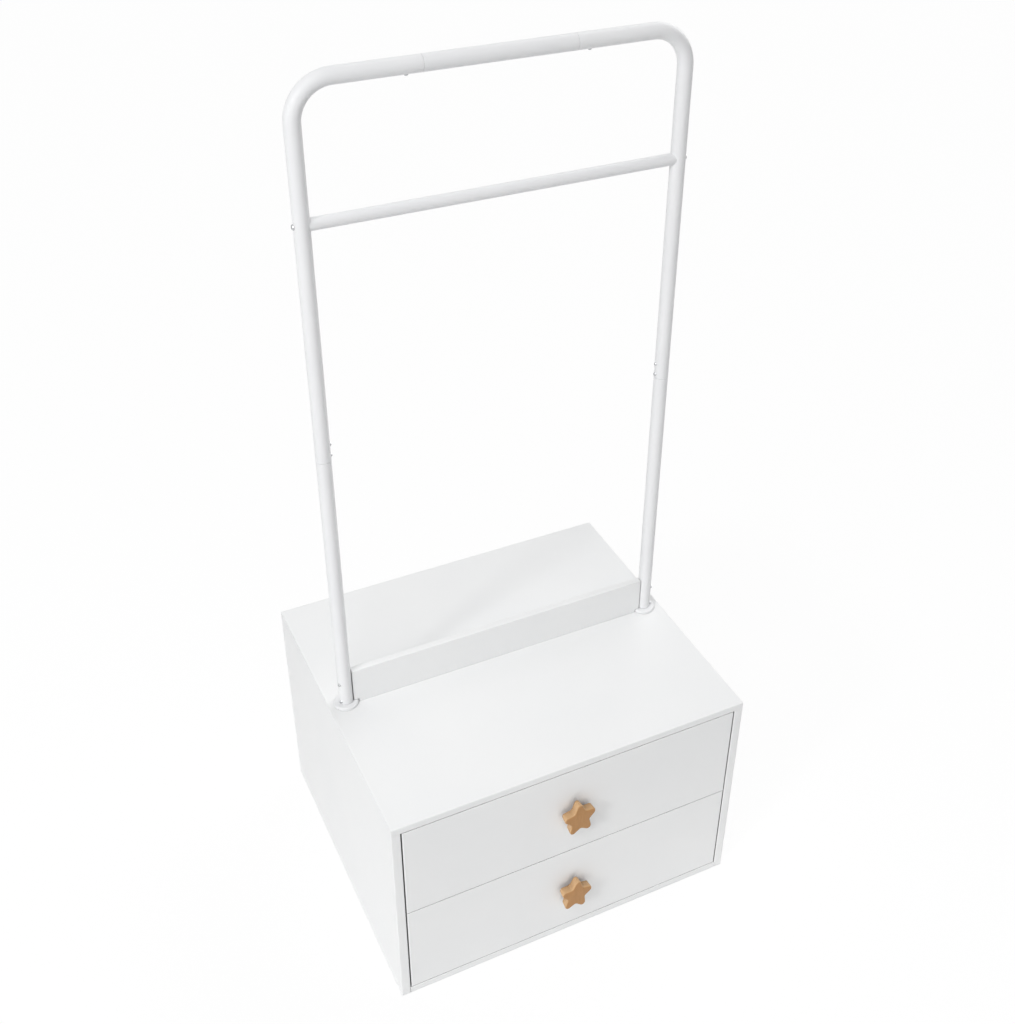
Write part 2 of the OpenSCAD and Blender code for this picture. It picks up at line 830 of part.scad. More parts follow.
module upper_drawer_back() drawer_back(UPPER);

module lower_drawer_back() drawer_back(LOWER);

module drawer_bottom(z) {
    side = box_x - box_t + box_groove - groove_play / 2;
    low = z + box_lift + floor_lift;
    color(sheet_white) board([-side, front_back_y - box_groove + groove_play / 2, low],
        [side, box_end_y - box_t + box_groove - groove_play / 2, low + floor_t]);
}

module upper_drawer_bottom() drawer_bottom(UPPER);

module lower_drawer_bottom() drawer_bottom(LOWER);

module drawer_cam_locks(z) {
    color(zinc) both() at_front_cams(z) cam_lock(box_t);
}

module upper_drawer_cam_locks() drawer_cam_locks(UPPER);

module lower_drawer_cam_locks() drawer_cam_locks(LOWER);

module drawer_cam_bolts(z) {
    color(zinc) both() at_front_cams(z) cam_bolt(box_t, bite_front);
}

module upper_drawer_cam_bolts() drawer_cam_bolts(UPPER);

module lower_drawer_cam_bolts() drawer_cam_bolts(LOWER);

module drawer_back_screws(z) {
    color(zinc) both() at_back_screws(z) flat_screw(back_screw_r, back_screw_l, back_screw_r * 2);
}

module upper_drawer_back_screws() drawer_back_screws(UPPER);

module lower_drawer_back_screws() drawer_back_screws(LOWER);

// Rounded star: the tips' arcs and the notches' arcs keep their centres when the outline
// is drawn in by inset, so every ring of the knob has the same number of points
star_points = 5;
arc_steps = 5;
star_half = 180 / star_points;
tip_half = atan2(star_r * star_share * sin(star_half), star_r - star_r * star_share * cos(star_half));
notch_half = star_half + tip_half;
tip_centre = star_r - tip_r / sin(tip_half);
notch_centre = star_r * star_share + notch_r / sin(notch_half);

function arc_point(centre, at, r, a) =
    [centre * cos(at) + r * cos(a), star_stretch * (centre * sin(at) + r * sin(a))];

function star_outline(inset, turn) = [
    for (i = [0 : star_points - 1]) let (tip = 90 + turn + 2 * star_half * i, notch = tip + star_half) each concat(
        [for (k = [0 : arc_steps]) arc_point(tip_centre, tip, tip_r - inset,
            tip + (90 - tip_half) * (2 * k / arc_steps - 1))],
        [for (k = [0 : arc_steps]) arc_point(notch_centre, notch, notch_r + inset,
            notch + 180 - (90 - notch_half) * (2 * k / arc_steps - 1))])
];

// Heights and insets of the knob's rings, from its back face to its front face
back_rim = 1.2;
function draft_at(h) = star_draft * (1 - h / star_t);
rings = concat([[0, back_rim]], [[back_rim, 0]],
    [for (k = [0 : 3]) [star_t - rim_r + rim_r * sin(30 * k), rim_r * (1 - cos(30 * k))]]);

module star_body(turn) {
    n = len(star_outline(0, turn));
    pts = [for (ring = rings) for (p = star_outline(ring[1] + draft_at(ring[0]), turn)) [p[0], p[1], ring[0]]];
    last = len(rings) - 1;
    walls = [for (j = [0 : last - 1]) for (i = [0 : n - 1])
        each [[j * n + i, (j + 1) * n + i, j * n + (i + 1) % n],
              [j * n + (i + 1) % n, (j + 1) * n + i, (j + 1) * n + (i + 1) % n]]];
    ends = [[for (i = [0 : n - 1]) i], [for (i = [n - 1 : -1 : 0]) last * n + i]];
    polyhedron(points = pts, faces = concat(walls, ends), convexity = 6);
}

module knob(z, turn) {
    color(beech) translate([0, front_y, z + front_h / 2]) rotate([90, 0, 0]) difference() {
        union() {
            translate([0, 0, neck_l]) star_body(turn);
            cylinder(r = neck_d / 2, h = neck_l + over);
        }
        translate([0, 0, -over]) cylinder(r = knob_screw_r + hair, h = knob_screw_in + over + hair);
    }
}

module upper_knob() knob(UPPER, upper_knob_turn);

module lower_knob() knob(LOWER, lower_knob_turn);

module knob_screw(z) {
    color(zinc) translate([0, front_back_y, z + front_h / 2]) rotate([-90, 0, 0])
        pan_screw(knob_screw_r, front_t + knob_screw_in, knob_head_r, knob_head_h);
}

module upper_knob_screw() knob_screw(UPPER);

module lower_knob_screw() knob_screw(LOWER);

top_panel();
bottom_panel();
left_side_panel();
right_side_panel();
back_panel();
divider_board();
divider_screws();
cam_bolts();
cam_locks();
dowels();
left_post_foot();
right_post_foot();
foot_bolts();
lower_left_post();
lower_right_post();
left_corner_tube();
right_corner_tube();
top_centre_tube();
crossbar();
crossbar_plugs();
foot_screws();
post_screws();
top_rail_screws();
crossbar_screws();
upper_left_rail();
upper_right_rail();
lower_left_rail();
lower_right_rail();
rail_screws();
upper_left_cage();
upper_right_cage();
lower_left_cage();
lower_right_cage();
upper_drawer_front();
upper_drawer_left_side();
upper_drawer_right_side();
upper_drawer_back();
upper_drawer_bottom();
upper_left_runner();
upper_right_runner();
upper_runner_screws();
upper_drawer_cam_locks();
upper_drawer_cam_bolts();
upper_drawer_back_screws();
upper_knob();
upper_knob_screw();
lower_drawer_front();
lower_drawer_left_side();
lower_drawer_right_side();
lower_drawer_back();
lower_drawer_bottom();
lower_left_runner();
lower_right_runner();
lower_runner_screws();
lower_drawer_cam_locks();
lower_drawer_cam_bolts();
lower_drawer_back_screws();
lower_knob();
lower_knob_screw();
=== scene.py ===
"""Kids clothing rack: the looks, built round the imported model."""
import json
import math

import bmesh
import bpy
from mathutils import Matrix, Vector


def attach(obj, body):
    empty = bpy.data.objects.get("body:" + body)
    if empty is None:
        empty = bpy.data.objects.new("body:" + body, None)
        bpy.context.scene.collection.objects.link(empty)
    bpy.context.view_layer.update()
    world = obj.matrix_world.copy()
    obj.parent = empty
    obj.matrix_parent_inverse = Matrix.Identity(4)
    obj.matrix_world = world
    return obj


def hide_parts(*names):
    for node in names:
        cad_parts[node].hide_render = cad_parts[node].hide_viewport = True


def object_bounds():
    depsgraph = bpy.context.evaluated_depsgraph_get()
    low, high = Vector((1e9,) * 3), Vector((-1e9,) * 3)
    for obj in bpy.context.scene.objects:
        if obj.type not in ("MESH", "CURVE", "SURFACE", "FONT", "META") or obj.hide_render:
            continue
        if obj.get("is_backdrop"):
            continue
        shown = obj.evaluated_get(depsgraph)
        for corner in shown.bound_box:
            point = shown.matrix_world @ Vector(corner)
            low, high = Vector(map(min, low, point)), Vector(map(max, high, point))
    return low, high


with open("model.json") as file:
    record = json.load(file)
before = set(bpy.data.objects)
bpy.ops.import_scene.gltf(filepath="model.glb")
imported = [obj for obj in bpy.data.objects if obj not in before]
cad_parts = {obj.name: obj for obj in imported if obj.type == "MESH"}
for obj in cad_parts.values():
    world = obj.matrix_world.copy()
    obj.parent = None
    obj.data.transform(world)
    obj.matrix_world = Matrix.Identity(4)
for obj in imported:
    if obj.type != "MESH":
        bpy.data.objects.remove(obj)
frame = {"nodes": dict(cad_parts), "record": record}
nodes = frame["nodes"]
cad_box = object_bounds()
scene = bpy.context.scene

# Sizes of the rack in metres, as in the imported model
POST_X = 0.2705
POST_Y = 0.0085
CAB_H = 0.394
SEAM_Z = 0.86
SEAM_X = 0.105
RAIL_Z = 1.392
BEND_R = 0.052
BAR_Z = 1.211
FRONT_Y = -0.2625

# Tubes: their walls, the rounded lips at their seams and the plugs that hold them together
TUBE_R = 0.011
BAR_R = 0.0085
WALL = 0.0012
BORE_R = TUBE_R - WALL
SEAM_LIP = 0.0006
LIP_CUT = 0.3 * SEAM_LIP
LIP_LEAD = 4 * SEAM_LIP
PLUG_R = BORE_R - 0.00015
PLUG_L = 0.045
PLUG_CUT = 0.0004
PLUG_LEAD = 0.0006
BORE_STEP = 0.003
BAR_PLAY = 0.00005
TUBE_SIDES = 56
UPRIGHT_STEPS = 10
BEND_STEPS = 24
RAIL_STEPS = 6
PLUG_TUBE_STEPS = 8
BAR_SIDES = 64
BAR_STEPS = 14

# Feet of the posts: the flange, its rounded shoulder and the spigot
FLANGE_T = 0.005
FLANGE_R = 0.0195
FOOT_Z = CAB_H + FLANGE_T
FOOT_CUT = 0.0004
SHOULDER_R = 0.0026
SEAT_R = TUBE_R + 0.0008
SPIGOT_TOP = 0.061
SPIGOT_CUT = 0.0006
SPIGOT_LEAD = 0.0005
SHOULDER_STEPS = 8
FOOT_SIDES = 64

# Knobs: the stars' tips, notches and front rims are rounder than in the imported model
KNOB_Z = {"upper": 0.2886, "lower": 0.1047}
KNOB_TURN = {"upper": 3.0, "lower": -6.0}
STAR_POINTS = 5
STAR_R = 0.03635
STAR_SHARE = 0.465
STAR_T = 0.0145
STAR_STRETCH = 1.2
STAR_DRAFT = 0.0015
TIP_R = 0.0058
NOTCH_R = 0.0045
RIM_R = 0.0028
BACK_RIM = 0.0012
ARC_STEPS = 14
RIM_STEPS = 8
BACK_RIM_STEPS = 5
KNOB_SHARP = 60.0
NECK_L = 0.006
NECK_R = 0.009
NECK_BASE = 0.001
NECK_WAIST = 0.0006
NECK_FLARE = 0.0008
NECK_SINK = 0.0006
NECK_SIDES = 48
POINT_R = 1e-6


# Materials

EDGE_SAMPLES = 6
# Painted gap shade: its samples, and the open shares at which it is full and at which it is gone
GAP_SAMPLES = 8
GAP_SHUT = 0.12
GAP_CLEAR = 0.56


class Nodes:
    """Short calls for the nodes of one material."""

    def __init__(self, name):
        self.mat = bpy.data.materials.new(name)
        self.mat.use_nodes = True
        self.tree = self.mat.node_tree
        self.bsdf = self.tree.nodes["Principled BSDF"]

    def add(self, kind, inputs=None, **props):
        node = self.tree.nodes.new("ShaderNode" + kind)
        for key, value in props.items():
            setattr(node, key, value)
        for key, value in (inputs or {}).items():
            self.put(value, node.inputs[key])
        return node

    def put(self, value, socket):
        if isinstance(value, bpy.types.NodeSocket):
            self.tree.links.new(value, socket)
        else:
            socket.default_value = value

    def coords(self, scale=(1, 1, 1)):
        at = self.add("TexCoord").outputs["Object"]
        return self.add("Mapping", {"Vector": at, "Scale": scale}).outputs["Vector"]

    def noise(self, vector, scale, detail=2.0, roughness=0.5, distortion=0.0):
        inputs = {"Vector": vector, "Scale": scale, "Detail": detail}
        inputs.update({"Roughness": roughness, "Distortion": distortion})
        return self.add("TexNoise", inputs).outputs["Fac"]

    def spread(self, value, low, high, from_low=0.0, from_high=1.0):
        inputs = {"Value": value, "From Min": from_low, "From Max": from_high}
        inputs.update({"To Min": low, "To Max": high})
        return self.add("MapRange", inputs).outputs["Result"]

    def ramp(self, value, stops):
        node = self.add("ValToRGB", {"Fac": value})
        ramp = node.color_ramp
        while len(ramp.elements) < len(stops):
            ramp.elements.new(0.5)
        for element, (place, colour) in zip(ramp.elements, stops):
            element.position = place
            element.color = (*colour, 1)
        return node.outputs["Color"]

    def mix(self, factor, a, b):
        node = self.add("Mix", data_type="RGBA")
        self.put(factor, node.inputs[0])
        self.put(a if isinstance(a, bpy.types.NodeSocket) else (*a, 1), node.inputs[6])
        self.put(b if isinstance(b, bpy.types.NodeSocket) else (*b, 1), node.inputs[7])
        return node.outputs[2]

    def bump(self, height, strength, distance, normal=None):
        inputs = {"Height": height, "Strength": strength, "Distance": distance}
        if normal is not None:
            inputs["Normal"] = normal
        return self.add("Bump", inputs).outputs["Normal"]

    def soft_edge(self, radius):
        return self.add("Bevel", {"Radius": radius}, samples=EDGE_SAMPLES).outputs["Normal"]

    def painted_gap_shade(self, colour, reach, deep, shade, clear=GAP_CLEAR):
        """Painted shade in narrow gaps and along contact lines, over a colour. It is as strong as deep
        where hardly anything is open within reach, and gone where the open share is clear or more."""
        open_sky = self.add("AmbientOcclusion", {"Distance": reach}, samples=GAP_SAMPLES).outputs["AO"]
        return self.mix(self.spread(open_sky, deep, 0.0, GAP_SHUT, clear), colour, shade)

    def finish(self, **values):
        for key, value in values.items():
            self.put(value, self.bsdf.inputs[key.replace("_", " ")])
        return self.mat


def lacquered_board(name, **gap):
    """White lacquer on board: a fine film, faint fibres and soft edges. Painted shade darkens its gaps and
    contact lines; gap says how strong it is.
    """
    m = Nodes(name)
    at = m.coords()
    cloud = m.noise(at, 5.0, 3.0)
    film = m.noise(at, 420.0, 2.0, 0.6)
    fibre = m.noise(m.coords((1.0, 1.0, 0.6)), 90.0, 4.0, 0.6)
    colour = m.ramp(cloud, [(0.3, (0.865, 0.872, 0.876)), (0.7, (0.885, 0.889, 0.889))])
    rough = m.spread(fibre, 0.42, 0.52, 0.3, 0.7)
    normal = m.bump(film, 0.10, 0.0003, m.bump(fibre, 0.05, 0.0006, m.soft_edge(0.0018)))
    # painted shade in the board's gaps and along its contact lines
    colour = m.painted_gap_shade(colour, **gap)
    return m.finish(Base_Color=colour, Roughness=rough, Normal=normal, Specular_IOR_Level=0.22)


def white_sheet():
    """White-faced hardboard with a slight mottle and a mesh print."""
    m = Nodes("white_faced_hardboard")
    at = m.coords()
    mottle = m.noise(at, 60.0, 5.0, 0.65)
    mesh = m.noise(at, 900.0, 2.0, 0.5)
    colour = m.ramp(mottle, [(0.3, (0.835, 0.837, 0.83)), (0.7, (0.865, 0.867, 0.862))])
    normal = m.bump(mesh, 0.25, 0.0003, m.bump(mottle, 0.08, 0.001))
    return m.finish(Base_Color=colour, Roughness=m.spread(mottle, 0.5, 0.62), Normal=normal)


def powder_coat():
    """White powder coat with a fine orange peel, and painted shade in gaps and where the tubes meet other
    parts.
    """
    m = Nodes("white_powder_coat")
    at = m.coords()
    peel = m.noise(at, 520.0, 2.0, 0.5)
    fine = m.noise(at, 1700.0, 1.0)
    cloud = m.noise(at, 9.0, 3.0)
    colour = m.ramp(cloud, [(0.3, (0.82, 0.826, 0.838)), (0.7, (0.84, 0.844, 0.852))])
    # painted shade in the tubes' gaps and where they meet other parts
    colour = m.painted_gap_shade(colour, 0.003, 0.5, (0.25, 0.25, 0.26))
    rough = m.spread(peel, 0.29, 0.36, 0.3, 0.7)
    normal = m.bump(fine, 0.06, 0.0001, m.bump(peel, 0.14, 0.0003))
    return m.finish(Base_Color=colour, Roughness=rough, Normal=normal, Specular_IOR_Level=0.2)


def zinc():
    """Zinc plate of the screws and fittings, with grain and stains."""
    m = Nodes("zinc_plate")
    at = m.coords()
    grain = m.noise(at, 900.0, 3.0, 0.6)
    stain = m.noise(at, 160.0, 3.0)
    colour = m.ramp(stain, [(0.3, (0.45, 0.46, 0.47)), (0.7, (0.6, 0.61, 0.62))])
    rough = m.spread(grain, 0.25, 0.45, 0.3, 0.7)
    return m.finish(Base_Color=colour, Metallic=1.0, Roughness=rough, Normal=m.bump(grain, 0.1, 0.0001))


def slide_steel():
    """Galvanised steel with its spangle and the marks of rolling along Y."""
    m = Nodes("galvanised_slide_steel")
    spangle = m.add("TexVoronoi", {"Vector": m.coords(), "Scale": 180.0}).outputs["Distance"]
    rolled = m.noise(m.coords((1.0, 0.04, 1.0)), 1500.0, 2.0)
    colour = m.ramp(spangle, [(0.1, (0.56, 0.57, 0.58)), (0.7, (0.68, 0.69, 0.7))])
    rough = m.spread(spangle, 0.24, 0.38, 0.1, 0.8)
    normal = m.bump(rolled, 0.12, 0.0001, m.soft_edge(0.0003))
    return m.finish(Base_Color=colour, Metallic=1.0, Roughness=rough, Normal=normal)


def beech(name, pale, deep, side_sheen):
    """Close-grained wood: faint growth bands, short darker flecks and fine pores. Its sides, the faces that
    don't look along Y, carry a painted sheen: they are painted paler by the share given for it. Painted
    shade also darkens the wood where it is hemmed in."""
    m = Nodes(name)
    drift = m.noise(m.coords((1.0, 1.0, 0.45)), 24.0, 3.0, 0.5)
    bands = m.noise(m.coords((150.0, 150.0, 14.0)), 1.0, 4.0, 0.55, 0.6)
    flecks = m.noise(m.coords((420.0, 420.0, 60.0)), 1.0, 2.0, 0.5)
    pores = m.noise(m.coords((1500.0, 1500.0, 130.0)), 1.0, 3.0, 0.6)
    base = m.mix(m.spread(bands, 0.25, 0.75, 0.3, 0.7), pale, deep)
    base = m.mix(m.spread(drift, 0.0, 0.3, 0.35, 0.7), base, (0.45, 0.215, 0.08))
    base = m.mix(m.spread(flecks, 0.0, 0.22, 0.56, 0.74), base, (0.27, 0.125, 0.05))
    base = m.mix(m.spread(pores, 0.0, 0.18, 0.6, 0.8), base, (0.22, 0.1, 0.04))
    # Painted sheen: faces that don't look along Y are mixed towards a pale tone
    across = m.add("SeparateXYZ", {"Vector": m.add("TexCoord").outputs["Normal"]}).outputs["Y"]
    facing = m.add("Math", {0: across}, operation="ABSOLUTE").outputs["Value"]
    base = m.mix(m.spread(facing, side_sheen, 0.0, 0.6, 0.97), base, (0.68, 0.47, 0.27))
    # painted shade where the wood is hemmed in: near the drawer front and in the notches
    base = m.painted_gap_shade(base, 0.018, 1.0, (0.19, 0.09, 0.035), 0.88)
    normal = m.bump(pores, 0.1, 0.0002, m.bump(bands, 0.04, 0.0002))
    rough = m.spread(pores, 0.4, 0.55, 0.4, 0.8)
    return m.finish(Base_Color=base, Roughness=rough, Normal=normal, Specular_IOR_Level=0.35)


# Both boards carry painted shade in their gaps: near black on the fronts and sides, a lighter grey on the
# top panel and divider
BOARD = lacquered_board("white_lacquered_board", reach=0.0045, deep=1.0, shade=(0.03, 0.03, 0.03))
FAINT_GAP_SHADE_BOARD = lacquered_board("white_lacquered_top", reach=0.003, deep=0.6, shade=(0.3, 0.3, 0.3), clear=0.7)
SHEET = white_sheet()
TUBE = powder_coat()
ZINC = zinc()
SLIDE = slide_steel()
# Both woods carry painted sheen on their sides, strongest on the knobs
BEECH = beech("beech_knob", pale=(0.52, 0.275, 0.1), deep=(0.385, 0.19, 0.063), side_sheen=0.55)
DOWEL = beech("dowel_beech", pale=(0.72, 0.52, 0.32), deep=(0.6, 0.4, 0.22), side_sheen=0.1)
BY_SLOT = {
    "white_board": BOARD,
    "white_sheet": SHEET,
    "white_tube": TUBE,
    "zinc_steel": ZINC,
    "slide_steel": SLIDE,
    "beech": BEECH,
    "dowel_wood": DOWEL,
}

for part in frame["record"]["subparts"]:
    cad = nodes[part["node"]]
    cad.data.materials.clear()
    cad.data.materials.append(BY_SLOT[part["material_slot"]])
# The top panel and divider take the board with the lighter painted gap shade
for node in ("top_panel", "divider_board"):
    nodes[node].data.materials[0] = FAINT_GAP_SHADE_BOARD


# Meshes

def new_piece(name, verts, faces, material, body, sharp=40.0):
    """A smooth piece whose edges steeper than sharp degrees stay crisp."""
    mesh = bpy.data.meshes.new(name)
    mesh.from_pydata([tuple(v) for v in verts], [], faces)
    mesh.validate()
    bm = bmesh.new()
    bm.from_mesh(mesh)
    bmesh.ops.recalc_face_normals(bm, faces=bm.faces)
    for face in bm.faces:
        face.smooth = True
    for edge in bm.edges:
        bend = edge.calc_face_angle(0.0) if len(edge.link_faces) == 2 else 0.0
        edge.smooth = bend <= math.radians(sharp)
    bm.to_mesh(mesh)
    bm.free()
    obj = bpy.data.objects.new(name, mesh)
    scene.collection.objects.link(obj)
    mesh.materials.append(material)
    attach(obj, body)
    return obj


def circle(centre, u, v, radius, sides):
    """Points of a circle round centre in the plane of u and v."""
    angles = [2 * math.pi * k / sides for k in range(sides)]
    return [centre + u * (radius * math.cos(a)) + v * (radius * math.sin(a)) for a in angles]


def quarter(radius, steps):
    """A rounded edge: how far it is drawn in and how far it is along, from its straight side to its end."""
    angles = [math.pi / 2 * k / steps for k in range(steps + 1)]
    return [(radius * (1 - math.cos(a)), radius * math.sin(a)) for a in angles]


def rings_mesh(rings, closed=False):
    """Joins rings of equally many points; closed also joins the last ring to the first."""
    n = len(rings[0])
    verts = [p for ring in rings for p in ring]
    count = len(rings)
    faces = []
    for j in range(count if closed else count - 1):
        a, b = j * n, ((j + 1) % count) * n
        faces += [(a + i, a + (i + 1) % n, b + (i + 1) % n, b + i) for i in range(n)]
    return verts, faces


def tube_skin(name, node, rings):
    """A closed shell of rings in powder coat, in place of a node of the frame."""
    verts, faces = rings_mesh(rings, closed=True)
    piece = new_piece(name, verts, faces, TUBE, "cabinet")
    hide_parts(node)


# Tubes of the frame, with real walls and rounded lips at their seams

ACROSS = Vector((0, 1, 0))
SIDES = (("left", -1), ("right", 1))

# Rings of the lip at a seam: distance past the seam and how far they are drawn in
LIP = [(0.0, SEAM_LIP), (LIP_CUT, LIP_CUT), (SEAM_LIP, 0.0)]


def straight(a, b, steps):
    return [a.lerp(b, i / steps) for i in range(steps + 1)]


def corner_points(side):
    """Centre line of a corner tube: up from the seam, round the bend and in along the top rail."""
    bend_z = RAIL_Z - BEND_R
    bend_x = POST_X - BEND_R
    seam = Vector((side * POST_X, POST_Y, SEAM_Z))
    points = straight(seam, Vector((side * POST_X, POST_Y, bend_z)), UPRIGHT_STEPS)
    for i in range(1, BEND_STEPS):
        a = math.pi / 2 * i / BEND_STEPS
        x = bend_x + BEND_R * math.cos(a)
        points.append(Vector((side * x, POST_Y, bend_z + BEND_R * math.sin(a))))
    top_seam = Vector((side * SEAM_X, POST_Y, RAIL_Z))
    return points + straight(Vector((side * bend_x, POST_Y, RAIL_Z)), top_seam, RAIL_STEPS)


def corner_tube(word, side):
    """Its rings go along the outside and back through the bore. Each is set by the number of its point, its
    radius and how far it is shifted along the tube."""
    points = corner_points(side)
    last = len(points) - 1
    lip = LIP + [(LIP_LEAD, 0.0)]
    stations = [(0, BORE_R, 0.0)]
    stations += [(0, TUBE_R - cut, along) for along, cut in lip]
    stations += [(i, TUBE_R, 0.0) for i in range(1, last)]
    stations += [(last, TUBE_R - cut, -along) for along, cut in reversed(lip)]
    stations += [(last, BORE_R, 0.0)]
    stations += [(i, BORE_R, 0.0) for i in range(last - 1, 0, -1)]
    rings = []
    for index, radius, shift in stations:
        line = (points[min(index + 1, last)] - points[max(index - 1, 0)]).normalized()
        centre = points[index] + line * shift
        rings.append(circle(centre, ACROSS, line.cross(ACROSS).normalized(), radius, TUBE_SIDES))
    tube_skin(f"{word}_corner_skin", f"{word}_corner_tube", rings)


def tube_end(plugged):
    """Rings of an end from its tip inwards: distance past its seam and radius. A plugged end has a reduced
    tip before the seam, which goes into the next tube."""
    tip = [(-PLUG_L, PLUG_R - PLUG_CUT), (PLUG_LEAD - PLUG_L, PLUG_R), (0.0, PLUG_R)] if plugged else []
    return tip + [(along, TUBE_R - cut) for along, cut in LIP]


def bore_end(plugged):
    """Rings of the bore from inside out to the tip. It is narrower in a plug."""
    bore = PLUG_R - WALL if plugged else BORE_R
    return [(2 * BORE_STEP, BORE_R), (BORE_STEP, bore), (-PLUG_L if plugged else 0.0, bore)]


def plug_tube(name, node, a, b, plugged_a):
    """A straight tube from a to b, whose end at b is plugged."""
    length = (b - a).length
    line = (b - a).normalized()
    step = (length - 2 * LIP_LEAD) / PLUG_TUBE_STEPS
    stations = tube_end(plugged_a)
    stations += [(LIP_LEAD + step * i, TUBE_R) for i in range(PLUG_TUBE_STEPS + 1)]
    stations += [(length - along, radius) for along, radius in reversed(tube_end(True))]
    stations += [(length - along, radius) for along, radius in reversed(bore_end(True))]
    stations += bore_end(plugged_a)
    v = line.cross(ACROSS).normalized()
    rings = [circle(a + line * along, ACROSS, v, radius, TUBE_SIDES) for along, radius in stations]
    tube_skin(name, node, rings)


def crossbar():
    """Its ends are cut to the round of the posts."""

    def ring(share, radius):
        out = []
        for k in range(BAR_SIDES):
            a = 2 * math.pi * k / BAR_SIDES
            y, z = radius * math.cos(a), radius * math.sin(a)
            reach = POST_X - math.sqrt((TUBE_R + BAR_PLAY) ** 2 - y * y)
            out.append(Vector((reach * share, POST_Y + y, BAR_Z + z)))
        return out

    shares = [2 * i / BAR_STEPS - 1 for i in range(BAR_STEPS + 1)]
    rings = [ring(share, BAR_R) for share in shares]
    rings += [ring(share, BAR_R - WALL) for share in reversed(shares)]
    tube_skin("crossbar_skin", "crossbar", rings)


for word, side in SIDES:
    foot_end = Vector((side * POST_X, POST_Y, FOOT_Z))
    seam_end = Vector((side * POST_X, POST_Y, SEAM_Z))
    plug_tube(f"{word}_post_skin", f"lower_{word}_post", foot_end, seam_end, False)
    corner_tube(word, side)
left_seam = Vector((-SEAM_X, POST_Y, RAIL_Z))
right_seam = Vector((SEAM_X, POST_Y, RAIL_Z))
plug_tube("centre_tube_skin", "top_centre_tube", left_seam, right_seam, True)
crossbar()


# Feet of the posts: a flange with a rounded shoulder and the spigot inside the post

def post_foot(word, side):
    profile = [(0.0, 0.0), (FLANGE_R - FOOT_CUT, 0.0), (FLANGE_R, FOOT_CUT)]
    shoulder_z = FLANGE_T - SHOULDER_R
    profile += [(FLANGE_R - cut, shoulder_z + up) for cut, up in quarter(SHOULDER_R, SHOULDER_STEPS)]
    profile += [(SEAT_R, FLANGE_T), (PLUG_R, FLANGE_T), (PLUG_R, SPIGOT_TOP - SPIGOT_LEAD)]
    profile += [(PLUG_R - SPIGOT_CUT, SPIGOT_TOP), (0.0, SPIGOT_TOP)]
    rings = []
    for radius, up in profile:
        centre = Vector((side * POST_X, POST_Y, CAB_H + up))
        rings.append(circle(centre, Vector((1, 0, 0)), ACROSS, max(radius, POINT_R), FOOT_SIDES))
    tube_skin(f"{word}_foot_skin", f"{word}_post_foot", rings)


for word, side in SIDES:
    post_foot(word, side)


# Knobs: a star with rounded tips, notches and rims on a short neck

def star_outline(inset, turn):
    """Points of the outline, drawn in by inset, turned by turn degrees and stretched upwards."""
    half = math.pi / STAR_POINTS
    notch_at = STAR_R * STAR_SHARE
    tip_half = math.atan2(notch_at * math.sin(half), STAR_R - notch_at * math.cos(half))
    notch_half = half + tip_half
    tip_centre = STAR_R - TIP_R / math.sin(tip_half)
    notch_centre = notch_at + NOTCH_R / math.sin(notch_half)
    points = []

    def arc(centre, at, radius, first, sweep):
        for k in range(ARC_STEPS + 1):
            a = first + sweep * (2 * k / ARC_STEPS - 1)
            x = centre * math.cos(at) + radius * math.cos(a)
            y = centre * math.sin(at) + radius * math.sin(a)
            points.append((x, STAR_STRETCH * y))

    for i in range(STAR_POINTS):
        tip = math.radians(90 + turn) + 2 * half * i
        notch = tip + half
        arc(tip_centre, tip, TIP_R - inset, tip, math.pi / 2 - tip_half)
        arc(notch_centre, notch, NOTCH_R + inset, notch + math.pi, notch_half - math.pi / 2)
    return points


def knob_star(which):
    """Its rings go from the back rim to the front one. The star is slightly larger at its front."""
    sections = [(cut, BACK_RIM - along) for cut, along in reversed(quarter(BACK_RIM, BACK_RIM_STEPS))]
    sections += [(0.0, STAR_T * share) for share in (0.3, 0.5, 0.7)]
    sections += [(cut, STAR_T - RIM_R + along) for cut, along in quarter(RIM_R, RIM_STEPS)]
    back_y = FRONT_Y - NECK_L
    rings = []
    for inset, depth in sections:
        outline = star_outline(inset + STAR_DRAFT * (1 - depth / STAR_T), KNOB_TURN[which])
        rings.append([Vector((x, back_y - depth, KNOB_Z[which] + z)) for x, z in outline])
    verts, faces = rings_mesh(rings)
    n = len(rings[0])
    faces.append(tuple(range(n - 1, -1, -1)))
    faces.append(tuple(range(len(verts) - n, len(verts))))
    star = new_piece(f"{which}_knob_star", verts, faces, BEECH, f"{which}_drawer", KNOB_SHARP)
    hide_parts(f"{which}_knob")


def knob_neck(which):
    """A turned neck with a slight waist, flared where it meets the star."""
    end = NECK_L + NECK_SINK
    profile = [(0.0, 0.0), (NECK_R, 0.0), (NECK_R, NECK_BASE), (NECK_R - NECK_WAIST, NECK_L / 2)]
    profile += [(NECK_R, NECK_L - NECK_FLARE), (NECK_R + NECK_FLARE, NECK_L), (NECK_R, end), (0.0, end)]
    u = Vector((1, 0, 0))
    v = Vector((0, 0, 1))
    rings = []
    for radius, out in profile:
        centre = Vector((0, FRONT_Y - out, KNOB_Z[which]))
        rings.append(circle(centre, u, v, max(radius, POINT_R), NECK_SIDES))
    verts, faces = rings_mesh(rings)
    neck = new_piece(f"{which}_knob_neck", verts, faces, BEECH, f"{which}_drawer", KNOB_SHARP)
    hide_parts(f"{which}_knob")


for which in ("upper", "lower"):
    knob_star(which)
    knob_neck(which)


# Stage, camera and lights

